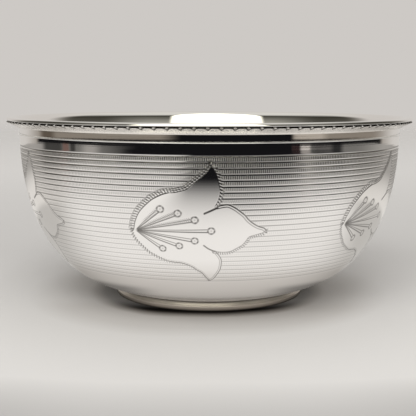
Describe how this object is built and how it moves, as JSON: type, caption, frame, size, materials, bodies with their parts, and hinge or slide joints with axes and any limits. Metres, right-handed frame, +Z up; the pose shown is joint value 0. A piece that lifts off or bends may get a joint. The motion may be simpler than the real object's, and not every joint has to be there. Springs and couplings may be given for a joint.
{
  "type": "offering bowl",
  "caption": "Small round offering bowl in polished white metal, with a turned-out notched lip, an engine-turned body with engraved lilies and a low ring foot.",
  "frame": {"origin": "on the table at the middle of the foot ring", "axes": "+Z up along the bowl's axis; one lily faces -Y, towards the picture's camera"},
  "size_m": [0.11, 0.11, 0.0488],
  "materials": {
    "polished_sheet": "mirror-polished silver-coloured sheet, engine-turned outside",
    "moulding_wire": "polished, with filed notches",
    "bead_wire": "mirror polished",
    "foot_strip": "polished, slightly softer than the body"
  },
  "bodies": {
    "root": {"bowl_shell": "polished_sheet", "rim_moulding": "moulding_wire", "neck_bead": "bead_wire", "foot_ring": "foot_strip"}
  },
  "joints": []
}
